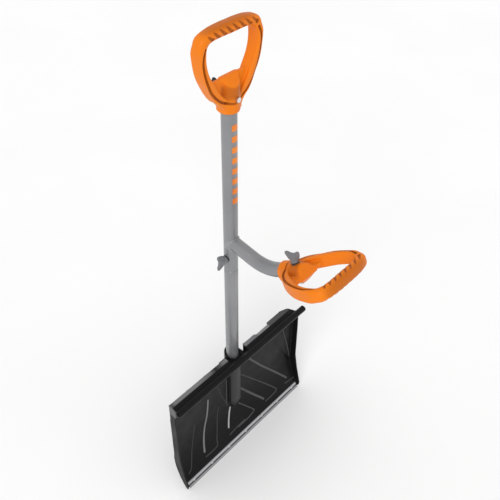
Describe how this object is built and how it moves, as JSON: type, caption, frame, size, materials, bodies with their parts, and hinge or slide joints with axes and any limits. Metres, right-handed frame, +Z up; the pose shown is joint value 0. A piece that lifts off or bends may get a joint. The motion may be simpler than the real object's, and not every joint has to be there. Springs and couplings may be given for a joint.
{
  "type": "snow shovel",
  "caption": "Two-handed snow shovel with a ribbed scoop, metal wear strip, jointed shaft, top D-grip and a forward assist D-grip on a welded arm, held by wing knobs.",
  "frame": {"origin": "underside of the top grip's bar at mid-width, where the shovel hangs on a hook", "axes": "+Z up the shaft, +X along the blade's edge, -Y towards the scooping side and the assist handle"},
  "size_m": [0.4572, 0.3543, 1.1685],
  "materials": {
    "blade_plastic": "satin",
    "strip_metal": "brushed",
    "shaft_paint": "satin",
    "weld_paint": "satin",
    "grip_plastic": "satin",
    "bolt_metal": "bright",
    "washer_plastic": "matte",
    "knob_plastic": "matte",
    "knob_plastic_dark": "matte",
    "insert_brass": "machined",
    "mark_paint": "satin"
  },
  "bodies": {
    "shovel": {"blade": "blade_plastic", "wear_strip": "strip_metal", "strip_rivets": "strip_metal", "lower_shaft": "shaft_paint", "upper_shaft": "shaft_paint", "assist_arm": "shaft_paint", "arm_weld": "weld_paint", "top_grip": "grip_plastic", "assist_grip": "grip_plastic", "blade_screw": "bolt_metal", "shaft_marks": "mark_paint", "shaft_bolt": "bolt_metal", "shaft_washer": "washer_plastic", "top_grip_bolt": "bolt_metal", "top_grip_washer": "washer_plastic", "assist_grip_bolt": "bolt_metal", "assist_grip_washer": "washer_plastic"},
    "shaft_knob": {"shaft_wing_knob": "knob_plastic", "shaft_knob_insert": "insert_brass"},
    "top_grip_knob": {"top_grip_wing_knob": "knob_plastic_dark", "top_grip_knob_insert": "insert_brass"},
    "assist_grip_knob": {"assist_grip_wing_knob": "knob_plastic", "assist_grip_knob_insert": "insert_brass"}
  },
  "joints": [
    {"name": "shaft_knob_turn", "type": "hinge", "parent": "shovel", "child": "shaft_knob", "pos_m": [0, 0, -0.5085], "axis": [-1, 0, 0], "continuous": true},
    {"name": "top_grip_knob_turn", "type": "hinge", "parent": "shovel", "child": "top_grip_knob", "pos_m": [0, 0, -0.119], "axis": [0, 1, 0], "continuous": true},
    {"name": "assist_grip_knob_turn", "type": "hinge", "parent": "shovel", "child": "assist_grip_knob", "pos_m": [0, -0.18614, -0.44034], "axis": [0, 0.454, 0.891], "continuous": true}
  ]
}
